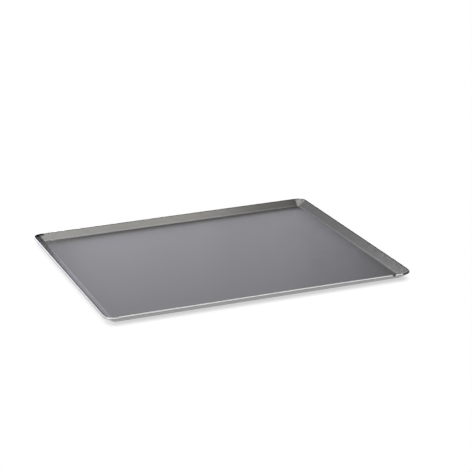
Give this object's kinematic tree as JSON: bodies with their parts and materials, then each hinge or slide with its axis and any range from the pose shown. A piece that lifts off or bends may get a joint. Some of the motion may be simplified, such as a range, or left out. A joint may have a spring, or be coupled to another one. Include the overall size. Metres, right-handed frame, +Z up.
{
  "type": "cookie sheet",
  "caption": "Flat rectangular baking tray pressed from aluminium plate, with a low oblique rim all round, conical corners, a bare cut edge and a grey non-stick inside.",
  "frame": {"origin": "middle of the flat underside, on the surface that the tray stands on", "axes": "+X along the long side, +Y along the short side towards the back, +Z up out of the open tray"},
  "size_m": [0.35, 0.32, 0.009],
  "materials": {
    "bare_aluminium": "satin, fine rolling grain, bright cut edge",
    "nonstick_coating": "satin grey non-stick film"
  },
  "bodies": {
    "root": {"pressed_tray": "bare_aluminium", "nonstick_coating": "nonstick_coating"}
  },
  "joints": []
}
